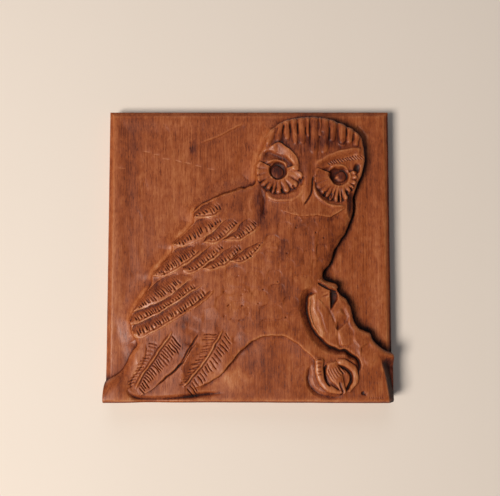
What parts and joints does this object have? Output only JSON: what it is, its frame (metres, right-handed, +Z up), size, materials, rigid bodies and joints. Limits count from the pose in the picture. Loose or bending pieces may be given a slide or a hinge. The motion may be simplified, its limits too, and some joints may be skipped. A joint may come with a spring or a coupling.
{
  "type": "carved owl wall plaque",
  "caption": "Square wooden wall plaque with an owl on a rock carved in relief from one block, flat at the back so that it sits against a wall.",
  "frame": {"origin": "centre of the flat back, where the plaque lies against the wall", "axes": "+Z up the picture, -Y out of the wall towards the viewer, +X to the viewer's right"},
  "size_m": [0.25, 0.0311, 0.256],
  "materials": {
    "carved_wood": "reddish-brown close-grained wood with vertical grain, hand-carved and waxed to a soft sheen"
  },
  "bodies": {
    "root": {"owl_plaque": "carved_wood"}
  },
  "joints": []
}
